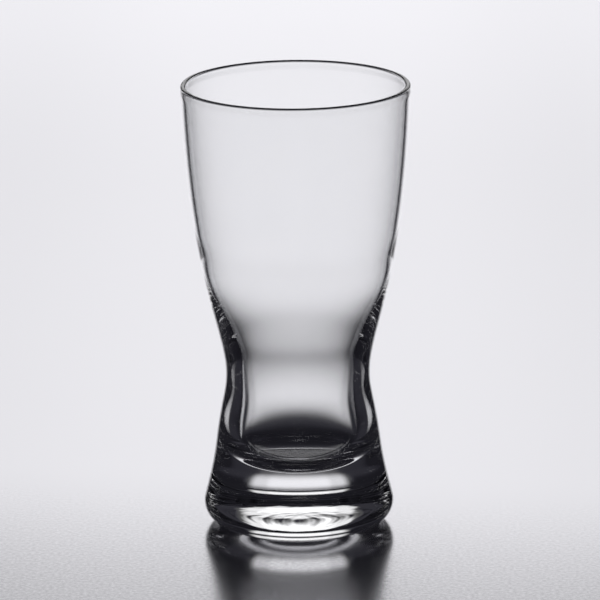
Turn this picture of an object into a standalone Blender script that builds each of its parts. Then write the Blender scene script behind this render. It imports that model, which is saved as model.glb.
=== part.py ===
"""Pilsner glass: one turned body of clear glass, with a beaded rim, a drawn-in waist and a heavy foot."""

import math

import bmesh
import bpy
from mathutils import Vector
from mathutils.geometry import interpolate_bezier

# Overall sizes, in metres
HEIGHT = 0.150
RIM_RADIUS = 0.0381
WAIST_RADIUS = 0.0241
WAIST_HEIGHT = 0.0515
FOOT_RADIUS = 0.0318

# Rim: a fire-polished bead, whose round top stands a little out of the wall that swells into it
RIM_WALL = 0.0015
BEAD_BULGE = 0.00005
BEAD_LIP = 0.00015
BEAD_HEIGHT = 0.001
BEAD_FADE = 0.0023
RIM_LEAN = math.radians(2.15)

# Bowl: the outer wall leaves the waist upright, opens out and stands nearly upright again at the rim
WAIST_RISE = 0.0149
BOWL_DROP = 0.0634
SHOULDER_HEIGHT = 0.0925
SHOULDER_WALL = 0.0016

# Well: the bulb at the lower end of the hollow, in thick glass, with a rounded floor and a narrower neck
WELL_RADIUS = 0.020
WELL_FLOOR = 0.0188
WELL_FLAT = 0.0011
WELL_ROUNDING = 0.013
FLOOR_REACH = 0.0135
BULB_REACH = 0.0081
NECK_RADIUS = 0.0186
NECK_HEIGHT = 0.0508

# Throat: the inner wall leaves the neck upright and runs into the bowl at the shoulder
THROAT_RISE = 0.0132
THROAT_DROP = 0.024

# Stem: the outer wall leaves the waist upright and widens downwards as a nearly straight cone
WAIST_FALL = 0.0062
STEM_RADIUS = 0.02757
STEM_HEIGHT = 0.0286
STEM_LEAN = math.radians(7.5)
STEM_RISE = 0.014
STEM_FALL = 0.008

# Foot: the stem flares into a broad round edge, on a flat ring round a shallow punt
FOOT_FLARE = math.radians(14.5)
FLARE_RISE = 0.008
FOOT_EDGE = 0.0074
RING_WIDTH = 0.0021
PUNT_DEPTH = 0.0027

# Facets round the axis, and along each stretch of the profile
TURN_FACETS = 64
BOWL_FACETS = 13
THROAT_FACETS = 8
WELL_FACETS = 3
ROUNDING_FACETS = 8
BEAD_FACETS = 10
STEM_FACETS = 6
FLARE_FACETS = 4
FOOT_FACETS = 7
PUNT_FACETS = 5
LOOKUP_POINTS = 200

# Clear soda-lime glass
GLASS_COLOUR = (0.97, 0.98, 0.98, 1.0)
GLASS_ROUGHNESS = 0.02
GLASS_IOR = 1.52


def clear_scene():
    for obj in list(bpy.data.objects):
        bpy.data.objects.remove(obj)


def arc(centre, radius, start, end, facets):
    """Points of a circular arc in the profile plane, from one angle to another."""
    points = []
    for step in range(facets + 1):
        angle = start + (end - start) * step / facets
        points.append(centre + Vector((radius * math.cos(angle), radius * math.sin(angle))))
    return points


def radius_at(curve, height):
    """Radius of a rising profile curve at a height, upright past its top."""
    for low, high in zip(curve, curve[1:]):
        if height <= high.y:
            return low.x + (high.x - low.x) * (height - low.y) / (high.y - low.y)
    return curve[-1].x


def bead():
    """Round lip, from the inner wall over the top to the outer wall."""
    half = (RIM_WALL + BEAD_BULGE + BEAD_LIP) / 2
    points = []
    for step in range(BEAD_FACETS + 1):
        angle = math.pi * (1 - step / BEAD_FACETS)
        across = RIM_RADIUS - half + half * math.cos(angle)
        points.append(Vector((across, HEIGHT - BEAD_HEIGHT + BEAD_HEIGHT * math.sin(angle))))
    return points


def outer_bowl(facets):
    """Outer wall from the waist up to the place where it swells into the bead."""
    waist = Vector((WAIST_RADIUS, WAIST_HEIGHT))
    rim = Vector((RIM_RADIUS - BEAD_BULGE, HEIGHT - BEAD_HEIGHT - BEAD_FADE))
    waist_handle = waist + Vector((0, WAIST_RISE))
    rim_handle = rim - BOWL_DROP * Vector((math.sin(RIM_LEAN), math.cos(RIM_LEAN)))
    return interpolate_bezier(waist, waist_handle, rim_handle, rim, facets + 1)


def inner_bowl():
    """Inner wall from the shoulder up to the bead: the outer wall less a thickness that thins upwards."""
    outside = outer_bowl(LOOKUP_POINTS)
    top = outside[-1].y
    points = []
    for step in range(BOWL_FACETS + 1):
        share = step / BOWL_FACETS
        height = SHOULDER_HEIGHT + (top - SHOULDER_HEIGHT) * share
        wall = SHOULDER_WALL + (RIM_WALL - SHOULDER_WALL) * share
        points.append(Vector((radius_at(outside, height) - wall, height)))
    return points


def well():
    """Floor, its rounding, and the wall of the bulb up to the neck."""
    flat = Vector((WELL_FLAT, WELL_FLOOR))
    bulb = Vector((WELL_RADIUS, WELL_FLOOR + WELL_ROUNDING))
    flat_handle = flat + Vector((FLOOR_REACH, 0))
    bulb_handle = bulb - Vector((0, BULB_REACH))
    points = [Vector((0, WELL_FLOOR))]
    points += interpolate_bezier(flat, flat_handle, bulb_handle, bulb, ROUNDING_FACETS + 1)
    neck = Vector((NECK_RADIUS, NECK_HEIGHT))
    handle = Vector((0, (neck.y - bulb.y) / 3))
    return points + interpolate_bezier(bulb, bulb + handle, neck - handle, neck, WELL_FACETS + 1)[1:]


def throat(neck, shoulder, above):
    """Inner wall from the neck up to the shoulder, where it runs into the bowl."""
    neck_handle = neck + Vector((0, THROAT_RISE))
    shoulder_handle = shoulder - THROAT_DROP * (above - shoulder).normalized()
    return interpolate_bezier(neck, neck_handle, shoulder_handle, shoulder, THROAT_FACETS + 1)


def hollow():
    """Inner side, from the middle of the well's floor up to the bead."""
    points = well()
    bowl = inner_bowl()
    return points + throat(points[-1], bowl[0], bowl[1])[1:] + bowl[1:]


def stem():
    """Outer wall from the waist down the cone to the round edge of the foot."""
    waist = Vector((WAIST_RADIUS, WAIST_HEIGHT))
    cone = Vector((STEM_RADIUS, STEM_HEIGHT))
    cone_up = Vector((-math.sin(STEM_LEAN), math.cos(STEM_LEAN)))
    edge_centre = Vector((FOOT_RADIUS - FOOT_EDGE, FOOT_EDGE))
    edge = edge_centre + FOOT_EDGE * Vector((math.cos(FOOT_FLARE), math.sin(FOOT_FLARE)))
    edge_up = Vector((-math.sin(FOOT_FLARE), math.cos(FOOT_FLARE)))
    waist_handle = waist - Vector((0, WAIST_FALL))
    points = interpolate_bezier(waist, waist_handle, cone + STEM_RISE * cone_up, cone, STEM_FACETS + 1)
    cone_handle = cone - STEM_FALL * cone_up
    points += interpolate_bezier(cone, cone_handle, edge + FLARE_RISE * edge_up, edge, FLARE_FACETS + 1)[1:]
    return points + arc(edge_centre, FOOT_EDGE, FOOT_FLARE, -math.pi / 2, FOOT_FACETS)[1:]


def underside():
    """Flat resting ring, then a shallow dome up to the axis."""
    ring_inner = FOOT_RADIUS - FOOT_EDGE - RING_WIDTH
    dome_radius = (ring_inner**2 + PUNT_DEPTH**2) / (2 * PUNT_DEPTH)
    dome_centre = Vector((0, PUNT_DEPTH - dome_radius))
    ring_angle = math.acos(ring_inner / dome_radius)
    return arc(dome_centre, dome_radius, ring_angle, math.pi / 2, PUNT_FACETS)


def glass_profile():
    """Half section at +X, from the well's floor over the rim and down the outside to the punt."""
    points = hollow() + bead()
    points += reversed(outer_bowl(BOWL_FACETS))
    points += stem()[1:]
    points += underside()
    points[-1].x = 0
    return points


def glass_material():
    material = bpy.data.materials.new("clear_glass")
    material.use_nodes = True
    shader = material.node_tree.nodes["Principled BSDF"]
    shader.inputs["Base Color"].default_value = GLASS_COLOUR
    shader.inputs["Roughness"].default_value = GLASS_ROUGHNESS
    shader.inputs["Metallic"].default_value = 0.0
    shader.inputs["IOR"].default_value = GLASS_IOR
    shader.inputs["Transmission Weight"].default_value = 1.0
    return material


def turned(name, profile, material, collection):
    """Object turned about Z from a half section in the XZ plane."""
    mesh = bpy.data.meshes.new(name)
    outline = bmesh.new()
    corners = [outline.verts.new((point.x, 0, point.y)) for point in profile]
    for first, second in zip(corners, corners[1:]):
        outline.edges.new((first, second))
    outline.to_mesh(mesh)
    outline.free()
    obj = bpy.data.objects.new(name, mesh)
    obj.data.materials.append(material)
    collection.objects.link(obj)
    screw = obj.modifiers.new("turn", "SCREW")
    screw.axis = "Z"
    screw.angle = 2 * math.pi
    screw.steps = TURN_FACETS
    screw.render_steps = TURN_FACETS
    screw.use_merge_vertices = True
    screw.merge_threshold = 0.00001
    screw.use_smooth_shade = True
    return obj


def main():
    clear_scene()
    collection = bpy.data.collections.new("Pilsner glass")
    bpy.context.scene.collection.children.link(collection)
    turned("glass", glass_profile(), glass_material(), collection)


main()
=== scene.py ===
"""Pilsner glass in a bright-field studio: a turned glass on a satin floor, with a light panel behind it."""

import math

import bpy
import numpy as np
from bpy.props import FloatProperty, FloatVectorProperty, IntProperty, PointerProperty
from mathutils import Matrix, Vector
from mathutils.geometry import interpolate_bezier


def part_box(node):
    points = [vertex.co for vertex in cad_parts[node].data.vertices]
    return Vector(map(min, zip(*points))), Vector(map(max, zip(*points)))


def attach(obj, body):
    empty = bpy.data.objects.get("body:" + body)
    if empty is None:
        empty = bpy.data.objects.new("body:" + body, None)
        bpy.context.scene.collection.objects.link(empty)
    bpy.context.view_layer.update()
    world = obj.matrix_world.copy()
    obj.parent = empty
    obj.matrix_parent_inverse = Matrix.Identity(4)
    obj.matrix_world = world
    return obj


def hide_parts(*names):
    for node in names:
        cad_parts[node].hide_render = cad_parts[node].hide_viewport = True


bl_info = {
    "name": "Pilsner Glass",
    "version": (1, 0, 0),
    "blender": (4, 5, 0),
    "location": "3D Viewport > Sidebar > Pilsner",
    "description": "Models a waisted pilsner glass and the studio that it stands in",
    "category": "Add Mesh",
}

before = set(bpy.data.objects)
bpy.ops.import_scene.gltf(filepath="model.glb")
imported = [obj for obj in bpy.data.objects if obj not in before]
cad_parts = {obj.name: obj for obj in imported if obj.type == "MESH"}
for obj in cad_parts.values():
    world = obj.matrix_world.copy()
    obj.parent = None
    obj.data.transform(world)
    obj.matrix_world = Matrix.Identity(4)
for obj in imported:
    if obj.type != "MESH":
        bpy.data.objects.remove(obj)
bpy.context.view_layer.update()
GLASS_LOW, GLASS_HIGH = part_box("glass")

# Points along each stretch of the drawn profile
FLOOR_POINTS = 6
ROUNDING_POINTS = 28
THROAT_POINTS = 5
BOWL_POINTS = 40
BEAD_POINTS = 24
SWELL_POINTS = 10
STEM_POINTS = 24
FLARE_POINTS = 18
FOOT_POINTS = 24
RING_POINTS = 4
PUNT_POINTS = 36
JOINT_POINTS = 8
LOOKUP_POINTS = 400

# Modelling: gap that is closed, in metres, and reach of the handles as shares of what they smooth
MERGE_GAP = 0.000002
SWELL_REACH = 0.2
JOINT_REACH = 0.4

# Floor: places in metres, from and to, where its painted shade and painted light, its roughness and its grain change,
# and how much
FLOOR_SIZE = 400
FLOOR_SLANT = 0.15
# painted shade: over this range the floor's mirror darkens towards the front, where it also grows rougher
FRONT_SHADE_AND_SATIN_RANGE = (0.06, -0.13)
GRAIN_RANGE = (0.08, -0.12)
# painted light: over this range the floor's mirror brightens far behind the glass
BACK_LIGHT_RANGE = (0.45, 1.0)
# painted shade: past this range the floor's mirror darkens at the sides, by the amount below
SIDE_SHADE_RANGE = (0.04, 0.13)
SIDE_PAINTED_SHADE = 0.05
# painted light: how much the floor's mirror brightens far behind the glass
BACK_PAINTED_LIGHT = 0.12
GRAIN_SCALE = 800
GRAIN_DETAIL = 2

# World: backdrop above the horizon, and the level up to which the room's tint shows
BACKDROP_LEVEL = 0.8
TINT_RANGE = (0, 0.1)


class GlassSizes(bpy.types.PropertyGroup):
    """Sizes of the glass's turned profile"""

    height: FloatProperty(
        name="Height", description="From the table to the top of the rim", default=GLASS_HIGH.z, unit="LENGTH"
    )
    rim_radius: FloatProperty(
        name="Rim radius", description="Outside of the rim's bead", default=GLASS_HIGH.x, unit="LENGTH"
    )
    rim_wall: FloatProperty(name="Rim wall", description="Wall under the bead", default=0.0016, unit="LENGTH")
    bead_bulge: FloatProperty(
        name="Bead bulge",
        description="How far the bead stands out of the wall outside",
        default=0.00005,
        unit="LENGTH",
    )
    bead_lip: FloatProperty(
        name="Bead lip",
        description="How far the bead stands out of the wall inside",
        default=0.00015,
        unit="LENGTH",
    )
    bead_height: FloatProperty(
        name="Bead height", description="Height of the bead's round top", default=0.001, unit="LENGTH"
    )
    bead_fade: FloatProperty(
        name="Bead fade", description="How far down the walls the bead swells them", default=0.0023, unit="LENGTH"
    )
    rim_lean: FloatProperty(
        name="Rim lean",
        description="Lean of the outer wall at the rim",
        default=math.radians(2.15),
        subtype="ANGLE",
    )
    bowl_drop: FloatProperty(
        name="Bowl drop", description="How far the rim's lean carries down the bowl", default=0.0634, unit="LENGTH"
    )
    shoulder_height: FloatProperty(
        name="Shoulder height", description="Where the thin wall of the bowl ends", default=0.1, unit="LENGTH"
    )
    shoulder_wall: FloatProperty(
        name="Shoulder wall", description="Wall at the shoulder", default=0.0016, unit="LENGTH"
    )
    waist_radius: FloatProperty(
        name="Waist radius", description="Outside of the narrowest place", default=0.0241, unit="LENGTH"
    )
    waist_height: FloatProperty(
        name="Waist height", description="Height of the narrowest place", default=0.0515, unit="LENGTH"
    )
    waist_rise: FloatProperty(
        name="Waist rise", description="How far the waist stays upright above", default=0.0149, unit="LENGTH"
    )
    waist_fall: FloatProperty(
        name="Waist fall", description="How far the waist stays upright below", default=0.0062, unit="LENGTH"
    )
    stem_radius: FloatProperty(
        name="Stem radius", description="Outside of the stem's cone, at its height", default=0.02757, unit="LENGTH"
    )
    stem_height: FloatProperty(
        name="Stem height", description="Where the stem's cone is straightest", default=0.0286, unit="LENGTH"
    )
    stem_lean: FloatProperty(
        name="Stem lean", description="Lean of the cone at that height", default=math.radians(7.5), subtype="ANGLE"
    )
    stem_rise: FloatProperty(
        name="Stem rise",
        description="How far the cone's lean carries up to the waist",
        default=0.014,
        unit="LENGTH",
    )
    stem_fall: FloatProperty(
        name="Stem fall",
        description="How far the cone's lean carries down to the flare",
        default=0.008,
        unit="LENGTH",
    )
    well_radius: FloatProperty(
        name="Well radius", description="Widest place of the hollow's lower end", default=0.02, unit="LENGTH"
    )
    well_floor: FloatProperty(
        name="Well floor", description="Height of the hollow's floor", default=0.0188, unit="LENGTH"
    )
    well_flat: FloatProperty(
        name="Well flat", description="Radius of the floor's flat middle", default=0.0011, unit="LENGTH"
    )
    well_rounding: FloatProperty(
        name="Well rounding",
        description="Height of the rounding between floor and wall",
        default=0.013,
        unit="LENGTH",
    )
    floor_reach: FloatProperty(
        name="Floor reach",
        description="How far the floor's level carries into the rounding",
        default=0.0135,
        unit="LENGTH",
    )
    bulb_reach: FloatProperty(
        name="Bulb reach",
        description="How far the bulb's upright wall carries into the rounding",
        default=0.0081,
        unit="LENGTH",
    )
    throat_heights: FloatVectorProperty(
        name="Throat heights",
        description="Heights of the stations that the hollow's wall runs through between the well and the shoulder",
        default=(0.038, 0.044, 0.05, 0.055, 0.06, 0.065, 0.07, 0.076, 0.083, 0.092),
        size=10,
        unit="LENGTH",
    )
    throat_radii: FloatVectorProperty(
        name="Throat radii",
        description="Radii of the hollow at those stations",
        default=(0.01953, 0.01896, 0.01886, 0.0194, 0.02066, 0.02252, 0.02447, 0.02672, 0.02882, 0.03067),
        size=10,
        unit="LENGTH",
    )
    foot_radius: FloatProperty(name="Foot radius", description="Outside of the foot", default=0.0318, unit="LENGTH")
    foot_edge: FloatProperty(
        name="Foot edge", description="Radius of the foot's round edge", default=0.0074, unit="LENGTH"
    )
    foot_flare: FloatProperty(
        name="Foot flare",
        description="Lean of the stem where it meets the edge",
        default=math.radians(14.5),
        subtype="ANGLE",
    )
    flare_rise: FloatProperty(
        name="Flare rise", description="How far the flare's lean carries up the stem", default=0.008, unit="LENGTH"
    )
    ring_width: FloatProperty(
        name="Ring width", description="Flat ring that the glass rests on", default=0.0021, unit="LENGTH"
    )
    ring_blend: FloatProperty(
        name="Ring blend", description="How softly the ring runs into the punt", default=0.0008, unit="LENGTH"
    )
    punt_depth: FloatProperty(
        name="Punt depth", description="Hollow under the foot, inside the ring", default=0.0027, unit="LENGTH"
    )
    punt_waves: FloatProperty(
        name="Punt waves",
        description="Height of the faint waves that the mould leaves in the punt",
        default=0.00028,
        unit="LENGTH",
    )
    wave_length: FloatProperty(name="Wave length", description="Length of those waves", default=0.0045, unit="LENGTH")
    turns: IntProperty(name="Turn steps", description="Steps round the axis", default=256, min=64, max=320)


class GlassFinish(bpy.types.PropertyGroup):
    """Finish of the clear glass"""

    tint: FloatVectorProperty(
        name="Tint",
        description="Colour that light keeps at each surface",
        default=(1.0, 1.0, 1.0),
        subtype="COLOR",
        size=3,
    )
    cord_tint: FloatVectorProperty(
        name="Cord tint",
        description="Colour that light keeps in the faint cords",
        default=(0.985, 0.99, 0.994),
        subtype="COLOR",
        size=3,
    )
    cord_scale: FloatProperty(name="Cord scale", description="How close the cords lie", default=60)
    ior: FloatProperty(name="IOR", description="Index of refraction of soda-lime glass", default=1.52)


class StudioSettings(bpy.types.PropertyGroup):
    """Camera, floor and light of the studio"""

    camera_distance: FloatProperty(
        name="Camera distance", description="From the glass's axis, along the floor", default=1.857, unit="LENGTH"
    )
    camera_height: FloatProperty(name="Camera height", description="Above the floor", default=0.5607, unit="LENGTH")
    aim_height: FloatProperty(
        name="Aim height", description="Height on the axis at the picture's middle", default=0.0762, unit="LENGTH"
    )
    aim_side: FloatProperty(
        name="Aim side", description="How far right of the axis the camera aims", default=0.0009, unit="LENGTH"
    )
    camera_roll: FloatProperty(
        name="Camera roll",
        description="Turn of the camera about its view",
        default=math.radians(-0.5),
        subtype="ANGLE",
    )
    lens: FloatProperty(name="Lens", description="Focal length on a 36 mm sensor", default=345.4)
    floor_colour: FloatVectorProperty(
        name="Floor colour",
        description="Satin floor's reflection",
        default=(0.84, 0.838, 0.862),
        subtype="COLOR",
        size=3,
    )
    floor_roughness: FloatProperty(
        name="Floor roughness", description="Satin of the floor at the front", default=0.21, min=0, max=1
    )
    far_roughness: FloatProperty(
        name="Far roughness", description="Satin of the floor far behind the glass", default=0.15, min=0, max=1
    )
    # painted shade: how far the floor's mirror darkens towards the front
    front_painted_shade: FloatProperty(name="Floor fade", description="How much the floor dulls towards the front", default=0.28)
    floor_grain: FloatProperty(
        name="Floor grain", description="Strength of the floor's grain at the front", default=0.55
    )
    # painted light: the floor mirrors the panels more through the glass than straight to the camera, which brightens
    # what the glass shows
    camera_floor_painted_shade: FloatProperty(
        name="Floor bare", description="Share of the floor's shine where no glass lies before it", default=0.9
    )
    panel_colour: FloatVectorProperty(
        name="Panel colour", description="Light panels", default=(0.99, 0.985, 1.0), subtype="COLOR", size=3
    )
    room_level: FloatProperty(name="Room level", description="Light of the dark room round the panels", default=0.012)
    room_tint: FloatVectorProperty(
        name="Room tint",
        description="Colour of the dark room's light",
        default=(0.97, 0.94, 1.25),
        subtype="COLOR",
        size=3,
        max=2,
    )


# Profile of the glass, as radius and height, in metres


def arc(centre, radius, start, end, count):
    """Points of a circular arc in the profile, from one angle to another."""
    points = []
    for step in range(count + 1):
        turn = start + (end - start) * step / count
        points.append(centre + Vector((radius * math.cos(turn), radius * math.sin(turn))))
    return points


def line(start, end, count):
    return [start.lerp(end, step / count) for step in range(count + 1)]


def radius_at(curve, height):
    """Radius of a rising curve at a height, upright above its top."""
    for low, high in zip(curve, curve[1:]):
        if height <= high.y:
            return low.x + (high.x - low.x) * (height - low.y) / (high.y - low.y)
    return curve[-1].x


def soften(points, joint, reach_before, reach_after):
    """Swaps the points on both sides of a joint, as far as the reach, for a smooth curve."""
    before = after = joint
    while (points[before] - points[joint]).length < reach_before:
        before -= 1
    while (points[after] - points[joint]).length < reach_after:
        after += 1
    start, end = points[before], points[after]
    handle = (end - start).length * JOINT_REACH
    lead = (start - points[before - 1]).normalized() * handle
    tail = (points[after + 1] - end).normalized() * handle
    curve = interpolate_bezier(start, start + lead, end - tail, end, JOINT_POINTS + 1)
    return points[:before] + curve + points[after + 1 :]


def smooth_wall(stations, low_slope, high_slope):
    """Curve of even bend through stations of radius and height, with the radius's slopes at its ends."""
    radii, heights = np.array(stations).T
    rises = np.diff(heights)
    slants = np.diff(radii) / rises
    system = np.eye(len(stations))
    wanted = np.array([low_slope, *range(1, len(stations) - 1), high_slope], float)
    for at in range(1, len(stations) - 1):
        before, after = 1 / rises[at - 1], 1 / rises[at]
        system[at, at - 1 : at + 2] = before, 2 * (before + after), after
        wanted[at] = 3 * (slants[at - 1] * before + slants[at] * after)
    slopes = np.linalg.solve(system, wanted)
    points = [stations[0]]
    for at, rise in enumerate(rises):
        low, high = stations[at], stations[at + 1]
        low_handle = low + Vector((slopes[at], 1)) * rise / 3
        high_handle = high - Vector((slopes[at + 1], 1)) * rise / 3
        points += interpolate_bezier(low, low_handle, high_handle, high, THROAT_POINTS + 1)[1:]
    return points


def bead(sizes):
    """Round lip, from the inner wall over the top to the outer wall."""
    half = (sizes.rim_wall + sizes.bead_bulge + sizes.bead_lip) / 2
    centre = Vector((sizes.rim_radius - half, sizes.height - sizes.bead_height))
    points = []
    for step in range(BEAD_POINTS + 1):
        turn = math.pi * (1 - step / BEAD_POINTS)
        points.append(centre + Vector((half * math.cos(turn), sizes.bead_height * math.sin(turn))))
    return points


def swell(sizes, wall, lip):
    """Wall from its top up to the side of the bead."""
    reach = SWELL_REACH * sizes.bead_fade
    lean = reach * Vector((math.sin(sizes.rim_lean), math.cos(sizes.rim_lean)))
    return interpolate_bezier(wall, wall + lean, lip - Vector((0, reach)), lip, SWELL_POINTS + 1)


def outer_bowl(sizes, count):
    """Outer wall from the waist up to the bead."""
    waist = Vector((sizes.waist_radius, sizes.waist_height))
    rim = Vector((sizes.rim_radius - sizes.bead_bulge, sizes.height - sizes.bead_height - sizes.bead_fade))
    rise = waist + Vector((0, sizes.waist_rise))
    drop = rim - sizes.bowl_drop * Vector((math.sin(sizes.rim_lean), math.cos(sizes.rim_lean)))
    return interpolate_bezier(waist, rise, drop, rim, count + 1)


def inner_bowl(sizes):
    """Inner wall from the shoulder up to the bead, thinning upwards."""
    outer = outer_bowl(sizes, LOOKUP_POINTS)
    low, high = sizes.shoulder_height, outer[-1].y
    points = []
    for step in range(BOWL_POINTS + 1):
        share = step / BOWL_POINTS
        height = low + (high - low) * share
        wall = sizes.shoulder_wall + (sizes.rim_wall - sizes.shoulder_wall) * share
        points.append(Vector((radius_at(outer, height) - wall, height)))
    return points


def well(sizes):
    """Floor of the hollow and its rounding."""
    flat = Vector((sizes.well_flat, sizes.well_floor))
    bulb = Vector((sizes.well_radius, sizes.well_floor + sizes.well_rounding))
    level = flat + Vector((sizes.floor_reach, 0))
    upright = bulb - Vector((0, sizes.bulb_reach))
    points = line(Vector((0, sizes.well_floor)), flat, FLOOR_POINTS)
    return points + interpolate_bezier(flat, level, upright, bulb, ROUNDING_POINTS + 1)[1:]


def hollow(sizes):
    """Inner side from the middle of the well's floor up to the bead."""
    points = well(sizes)
    bowl = inner_bowl(sizes)
    stations = [Vector(station) for station in zip(sizes.throat_radii, sizes.throat_heights)]
    lean = bowl[1] - bowl[0]
    return points + smooth_wall([points[-1], *stations, bowl[0]], 0, lean.x / lean.y)[1:] + bowl[1:]


def stem(sizes):
    """Outer wall from the waist down the cone and round the edge of the foot."""
    waist = Vector((sizes.waist_radius, sizes.waist_height))
    cone = Vector((sizes.stem_radius, sizes.stem_height))
    up = Vector((-math.sin(sizes.stem_lean), math.cos(sizes.stem_lean)))
    edge = Vector((sizes.foot_radius - sizes.foot_edge, sizes.foot_edge))
    out = Vector((math.cos(sizes.foot_flare), math.sin(sizes.foot_flare)))
    meet = edge + sizes.foot_edge * out
    fall = waist - Vector((0, sizes.waist_fall))
    points = interpolate_bezier(waist, fall, cone + sizes.stem_rise * up, cone, STEM_POINTS + 1)
    lean = meet + sizes.flare_rise * Vector((-out.y, out.x))
    points += interpolate_bezier(cone, cone - sizes.stem_fall * up, lean, meet, FLARE_POINTS + 1)[1:]
    return points + arc(edge, sizes.foot_edge, sizes.foot_flare, -math.pi / 2, FOOT_POINTS)[1:]


def underside(sizes):
    """Resting ring and the punt inside it."""
    ring = sizes.foot_radius - sizes.foot_edge
    inner = ring - sizes.ring_width
    radius = (inner**2 + sizes.punt_depth**2) / (2 * sizes.punt_depth)
    centre = Vector((0, sizes.punt_depth - radius))
    points = line(Vector((ring, 0)), Vector((inner, 0)), RING_POINTS)[1:]
    points += arc(centre, radius, math.acos(inner / radius), math.pi / 2, PUNT_POINTS)[1:]
    points[-1].x = 0
    return soften(points, RING_POINTS - 1, sizes.ring_blend, sizes.ring_blend)


def glass_profile(sizes):
    """Half section from the well's floor over the rim and down the outside to the punt."""
    inside = hollow(sizes)
    lip = bead(sizes)
    outside = outer_bowl(sizes, BOWL_POINTS)
    points = inside + swell(sizes, inside[-1], lip[0])[1:] + lip[1:-1]
    points += reversed(outside + swell(sizes, outside[-1], lip[-1])[1:])
    return points + stem(sizes)[1:] + underside(sizes)


# Modelling


def start_piece(name, place):
    """Adds a primitive at the piece's first point and opens it in edit mode, shrunk to one vertex."""
    bpy.ops.object.select_all(action="DESELECT")
    bpy.ops.mesh.primitive_circle_add(vertices=3, radius=0.001, location=place)
    piece = bpy.context.object
    piece.name = piece.data.name = name
    bpy.ops.object.mode_set(mode="EDIT")
    bpy.ops.mesh.select_all(action="SELECT")
    bpy.ops.mesh.merge(type="CENTER")
    return piece


def draw_profile(points):
    """Extrudes the one selected vertex along the profile."""
    for before, after in zip(points, points[1:]):
        move = (after.x - before.x, 0, after.y - before.y)
        bpy.ops.mesh.extrude_region_move(TRANSFORM_OT_translate={"value": move})


def turn_profile(steps):
    """Spins the profile about Z and closes its seam and poles."""
    bpy.ops.mesh.select_all(action="SELECT")
    bpy.ops.mesh.spin(steps=steps, angle=2 * math.pi, center=(0, 0, 0), axis=(0, 0, 1))
    bpy.ops.mesh.select_all(action="SELECT")
    bpy.ops.mesh.remove_doubles(threshold=MERGE_GAP)
    bpy.ops.mesh.normals_make_consistent(inside=False)


def wave_punt(piece, sizes):
    """Gives the punt the faint waves that the mould leaves, and leaves the resting ring flat."""
    inner = sizes.foot_radius - sizes.foot_edge - sizes.ring_width
    punt = piece.vertex_groups.new(name="punt")
    for vertex in piece.data.vertices:
        inwards = inner - vertex.co.xy.length
        if inwards > 0 and vertex.co.z < sizes.well_floor / 2:
            punt.add([vertex.index], min(1, inwards / sizes.wave_length), "REPLACE")
    waves = bpy.data.textures.new("mould_waves", "CLOUDS")
    waves.noise_scale = sizes.wave_length
    waves.noise_depth = 2
    bpy.ops.object.modifier_add(type="DISPLACE")
    modifier = piece.modifiers[-1]
    modifier.texture = waves
    modifier.texture_coords = "LOCAL"
    modifier.vertex_group = punt.name
    modifier.strength = sizes.punt_waves
    bpy.ops.object.modifier_apply(modifier=modifier.name)


def close_piece(piece):
    """Leaves edit mode and puts the piece's place into its mesh."""
    bpy.ops.object.mode_set(mode="OBJECT")
    bpy.ops.object.transform_apply(location=True, rotation=True, scale=True)
    bpy.ops.object.shade_smooth()
    edges = {}
    for polygon in piece.data.polygons:
        for key in polygon.edge_keys:
            edges[key] = edges.get(key, 0) + 1
    if any(count != 2 for count in edges.values()):
        raise RuntimeError(f"{piece.name} isn't closed")


def clear_glass(finish):
    """Clear fire-polished glass."""
    material = bpy.data.materials.new("clear_glass")
    material.use_nodes = True
    shader = material.node_tree.nodes["Principled BSDF"]
    tree = material.node_tree
    cords = tree.nodes.new("ShaderNodeTexNoise")
    cords.inputs["Scale"].default_value = finish.cord_scale
    tree.links.new(tree.nodes.new("ShaderNodeTexCoord").outputs["Object"], cords.inputs["Vector"])
    shade = tree.nodes.new("ShaderNodeMix")
    shade.data_type = "RGBA"
    shade.inputs["A"].default_value = (*finish.cord_tint, 1)
    shade.inputs["B"].default_value = (*finish.tint, 1)
    tree.links.new(cords.outputs["Fac"], shade.inputs["Factor"])
    tree.links.new(shade.outputs["Result"], shader.inputs["Base Color"])
    shader.inputs["Roughness"].default_value = 0.0
    shader.inputs["IOR"].default_value = finish.ior
    shader.inputs["Transmission Weight"].default_value = 1
    return material


class PILSNER_OT_glass(bpy.types.Operator):
    """Models the glass by turning its profile"""

    bl_idname = "pilsner.glass"
    bl_label = "Glass"
    bl_options = {"REGISTER", "UNDO"}

    def execute(self, context):
        sizes = context.scene.pilsner_sizes
        profile = glass_profile(sizes)
        glass = start_piece("pilsner_glass", (profile[0].x, 0, profile[0].y))
        draw_profile(profile)
        turn_profile(sizes.turns)
        close_piece(glass)
        wave_punt(glass, sizes)
        glass.data.materials.append(clear_glass(context.scene.pilsner_finish))
        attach(glass, "root")
        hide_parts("glass")
        return {"FINISHED"}


# Studio


def math_node(tree, operation, first, second=None):
    node = tree.nodes.new("ShaderNodeMath")
    node.operation = operation
    for socket, value in zip(node.inputs, (first, second)):
        if isinstance(value, bpy.types.NodeSocket):
            tree.links.new(value, socket)
        elif value is not None:
            socket.default_value = value
    return node.outputs[0]


def soft_step(tree, value, low, high):
    """0 below low and 1 above high, or the other way round where low is the greater."""
    node = tree.nodes.new("ShaderNodeMapRange")
    node.interpolation_type = "SMOOTHSTEP"
    swap = low > high
    node.inputs["From Min"].default_value = min(low, high)
    node.inputs["From Max"].default_value = max(low, high)
    node.inputs["To Min"].default_value = 1 if swap else 0
    node.inputs["To Max"].default_value = 0 if swap else 1
    tree.links.new(value, node.inputs["Value"])
    return node.outputs[0]


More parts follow.
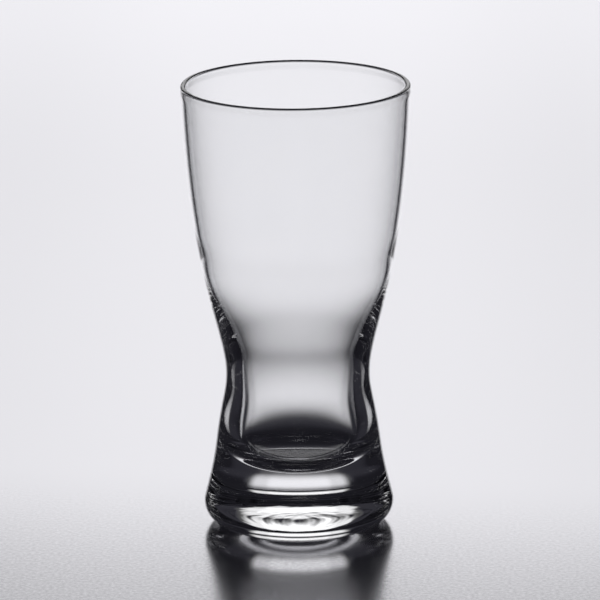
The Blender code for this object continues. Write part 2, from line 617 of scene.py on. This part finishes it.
def floor_material(studio):
    """Pale satin sheet that mirrors the panels, rougher and grainier towards the front. Painted shade darkens its
    mirror towards the front and sides, and painted light brightens it far behind. It also mirrors a little less
    straight to the camera than through the glass, a painted brightening of the floor seen through the glass.
    """
    material = bpy.data.materials.new("satin_floor")
    material.use_nodes = True
    tree = material.node_tree
    tree.nodes.clear()
    output = tree.nodes.new("ShaderNodeOutputMaterial")
    gloss = tree.nodes.new("ShaderNodeBsdfGlossy")
    place = tree.nodes.new("ShaderNodeTexCoord").outputs["Object"]
    split = tree.nodes.new("ShaderNodeSeparateXYZ")
    tree.links.new(place, split.inputs[0])
    slant = math_node(tree, "MULTIPLY", split.outputs["X"], FLOOR_SLANT)
    depth = math_node(tree, "ADD", split.outputs["Y"], slant)
    front = soft_step(tree, depth, *FRONT_SHADE_AND_SATIN_RANGE)
    back = soft_step(tree, depth, *BACK_LIGHT_RANGE)
    side = soft_step(tree, math_node(tree, "ABSOLUTE", split.outputs["X"]), *SIDE_SHADE_RANGE)
    grain = tree.nodes.new("ShaderNodeTexNoise")
    grain.inputs["Scale"].default_value = GRAIN_SCALE
    grain.inputs["Detail"].default_value = GRAIN_DETAIL
    tree.links.new(place, grain.inputs["Vector"])
    near = soft_step(tree, depth, *GRAIN_RANGE)
    speck = math_node(tree, "MULTIPLY", math_node(tree, "SUBTRACT", grain.outputs["Fac"], 0.5), near)
    # painted shade and painted light: the floor's mirror is darkened towards the front and sides and brightened far
    # behind
    painted_light_level = math_node(tree, "SUBTRACT", 1, math_node(tree, "MULTIPLY", front, studio.front_painted_shade))
    painted_light_level = math_node(tree, "SUBTRACT", painted_light_level, math_node(tree, "MULTIPLY", side, SIDE_PAINTED_SHADE))
    painted_light_level = math_node(tree, "ADD", painted_light_level, math_node(tree, "MULTIPLY", back, BACK_PAINTED_LIGHT))
    level = math_node(tree, "ADD", painted_light_level, math_node(tree, "MULTIPLY", speck, studio.floor_grain))
    # painted light: the floor's mirror is dimmed for camera rays only, so it is brighter where it is seen through the
    # glass
    seen = tree.nodes.new("ShaderNodeLightPath").outputs["Is Camera Ray"]
    bare = math_node(tree, "SUBTRACT", 1, math_node(tree, "MULTIPLY", seen, 1 - studio.camera_floor_painted_shade))
    shade = tree.nodes.new("ShaderNodeMix")
    shade.data_type = "RGBA"
    shade.inputs["A"].default_value = (0, 0, 0, 1)
    shade.inputs["B"].default_value = (*studio.floor_colour, 1)
    tree.links.new(math_node(tree, "MULTIPLY", level, bare), shade.inputs["Factor"])
    tree.links.new(shade.outputs["Result"], gloss.inputs["Color"])
    satin = math_node(tree, "MULTIPLY", front, studio.floor_roughness - studio.far_roughness)
    tree.links.new(math_node(tree, "ADD", satin, studio.far_roughness), gloss.inputs["Roughness"])
    tree.links.new(gloss.outputs[0], output.inputs["Surface"])
    return material


# Light panels in degrees: azimuth, half width, side edge, low, low edge, high, high edge, and level
PANELS = (
    (0, 17, 5, 5.5, 3.5, 26, 9.5, 1.15),
    (0, 22.5, 3, 5.5, 3.5, 26, 9.5, 0.93),
    (0, 26, 4, 11, 3, 24, 6, 0.12),
    (0, 60, 15, 16, 5, 45, 10, 0.035),
)
# Panels that only the floor mirrors, so that it stays pale from the other sides
FLOOR_PANELS = (
    (-45, 12, 4, 14, 4, 38, 4, 1.0),
    (-90, 12, 4, -1, 1, 10, 4, 1.0),
    (135, 14, 4, 5, 4, 26, 4, 1.0),
)


def panel_light(tree, azimuth, elevation, panels):
    """Light of soft-edged panels, in degrees: azimuth from +Y towards +X, and elevation."""
    total = None
    for at, half, side, low, low_edge, high, high_edge, level in panels:
        wrap = tree.nodes.new("ShaderNodeMath")
        wrap.operation = "WRAP"
        tree.links.new(math_node(tree, "SUBTRACT", azimuth, at), wrap.inputs[0])
        wrap.inputs[1].default_value = 180
        wrap.inputs[2].default_value = -180
        away = math_node(tree, "ABSOLUTE", wrap.outputs[0])
        across = soft_step(tree, away, half + side, half - side)
        rise = soft_step(tree, elevation, low - low_edge, low + low_edge)
        fall = soft_step(tree, elevation, high + high_edge, high - high_edge)
        upright = math_node(tree, "MULTIPLY", rise, fall)
        share = math_node(tree, "MULTIPLY", math_node(tree, "MULTIPLY", across, level), upright)
        total = share if total is None else math_node(tree, "MAXIMUM", total, share)
    return total


def build_world(studio):
    """Dark room with light panels, and a pale backdrop that only the camera sees."""
    world = bpy.data.worlds.new("studio")
    bpy.context.scene.world = world
    world.use_nodes = True
    tree = world.node_tree
    tree.nodes.clear()
    output = tree.nodes.new("ShaderNodeOutputWorld")
    background = tree.nodes.new("ShaderNodeBackground")
    tree.links.new(background.outputs[0], output.inputs["Surface"])
    direction = tree.nodes.new("ShaderNodeTexCoord").outputs["Generated"]
    split = tree.nodes.new("ShaderNodeSeparateXYZ")
    tree.links.new(direction, split.inputs[0])
    bearing = math_node(tree, "ARCTAN2", split.outputs["X"], split.outputs["Y"])
    azimuth = math_node(tree, "MULTIPLY", bearing, 180 / math.pi)
    elevation = math_node(tree, "MULTIPLY", math_node(tree, "ARCSINE", split.outputs["Z"]), 180 / math.pi)
    path = tree.nodes.new("ShaderNodeLightPath")
    blurred = math_node(tree, "SUBTRACT", 1, path.outputs["Is Singular Ray"])
    plain = math_node(tree, "LESS_THAN", path.outputs["Glossy Depth"], 1.5)
    thick = math_node(tree, "COMPARE", path.outputs["Transmission Depth"], 2)
    blurred = math_node(tree, "MULTIPLY", blurred, plain)
    blurred = math_node(tree, "MULTIPLY", blurred, math_node(tree, "SUBTRACT", 1, thick))
    main = panel_light(tree, azimuth, elevation, PANELS)
    side = math_node(tree, "MULTIPLY", panel_light(tree, azimuth, elevation, FLOOR_PANELS), blurred)
    room = math_node(tree, "MAXIMUM", math_node(tree, "MAXIMUM", main, side), studio.room_level)
    backdrop = math_node(tree, "MULTIPLY", path.outputs["Is Camera Ray"], BACKDROP_LEVEL)
    level = math_node(tree, "MAXIMUM", room, backdrop)
    tint = tree.nodes.new("ShaderNodeMix")
    tint.data_type = "RGBA"
    tint.inputs["A"].default_value = (*studio.room_tint, 1)
    tint.inputs["B"].default_value = (*studio.panel_colour, 1)
    tree.links.new(soft_step(tree, level, *TINT_RANGE), tint.inputs["Factor"])
    tree.links.new(tint.outputs["Result"], background.inputs["Color"])
    tree.links.new(level, background.inputs["Strength"])


def build_camera(studio):
    data = bpy.data.cameras.new("camera")
    data.lens = studio.lens
    data.sensor_width = 36
    data.clip_start, data.clip_end = 0.01, 200
    camera = bpy.data.objects.new("camera", data)
    bpy.context.scene.collection.objects.link(camera)
    place = Vector((0, -studio.camera_distance, studio.camera_height))
    aim = Vector((studio.aim_side, 0, studio.aim_height))
    turn = (aim - place).to_track_quat("-Z", "Y").to_matrix().to_4x4()
    camera.matrix_world = Matrix.Translation(place) @ turn @ Matrix.Rotation(studio.camera_roll, 4, "Z")
    bpy.context.scene.camera = camera


class PILSNER_OT_stage(bpy.types.Operator):
    """Sets the floor, the light panels and the camera"""

    bl_idname = "pilsner.stage"
    bl_label = "Stage"
    bl_options = {"REGISTER", "UNDO"}

    def execute(self, context):
        studio = context.scene.pilsner_studio
        bpy.ops.object.select_all(action="DESELECT")
        bpy.ops.mesh.primitive_plane_add(size=FLOOR_SIZE, location=(0, 0, 0))
        floor = context.object
        floor.name = "floor"
        floor.data.materials.append(floor_material(studio))
        build_world(studio)
        build_camera(studio)
        scene = context.scene
        scene.view_settings.view_transform = "Standard"
        scene.cycles.max_bounces = 32
        scene.cycles.glossy_bounces = 24
        scene.cycles.transmission_bounces = 32
        return {"FINISHED"}


class PILSNER_PT_panel(bpy.types.Panel):
    """Glass and stage"""

    bl_label = "Pilsner Glass"
    bl_space_type = "VIEW_3D"
    bl_region_type = "UI"
    bl_category = "Pilsner"

    def draw(self, context):
        for operator in OPERATORS:
            self.layout.operator(operator.bl_idname)


GROUPS = (GlassSizes, GlassFinish, StudioSettings)
OPERATORS = (PILSNER_OT_glass, PILSNER_OT_stage)


def register():
    for kind in GROUPS + OPERATORS + (PILSNER_PT_panel,):
        bpy.utils.register_class(kind)
    bpy.types.Scene.pilsner_sizes = PointerProperty(type=GlassSizes)
    bpy.types.Scene.pilsner_finish = PointerProperty(type=GlassFinish)
    bpy.types.Scene.pilsner_studio = PointerProperty(type=StudioSettings)


def unregister():
    del bpy.types.Scene.pilsner_studio
    del bpy.types.Scene.pilsner_finish
    del bpy.types.Scene.pilsner_sizes
    for kind in reversed(GROUPS + OPERATORS + (PILSNER_PT_panel,)):
        bpy.utils.unregister_class(kind)


def main():
    register()
    bpy.ops.pilsner.glass()
    bpy.ops.pilsner.stage()
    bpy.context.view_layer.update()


if __name__ == "__main__":
    main()
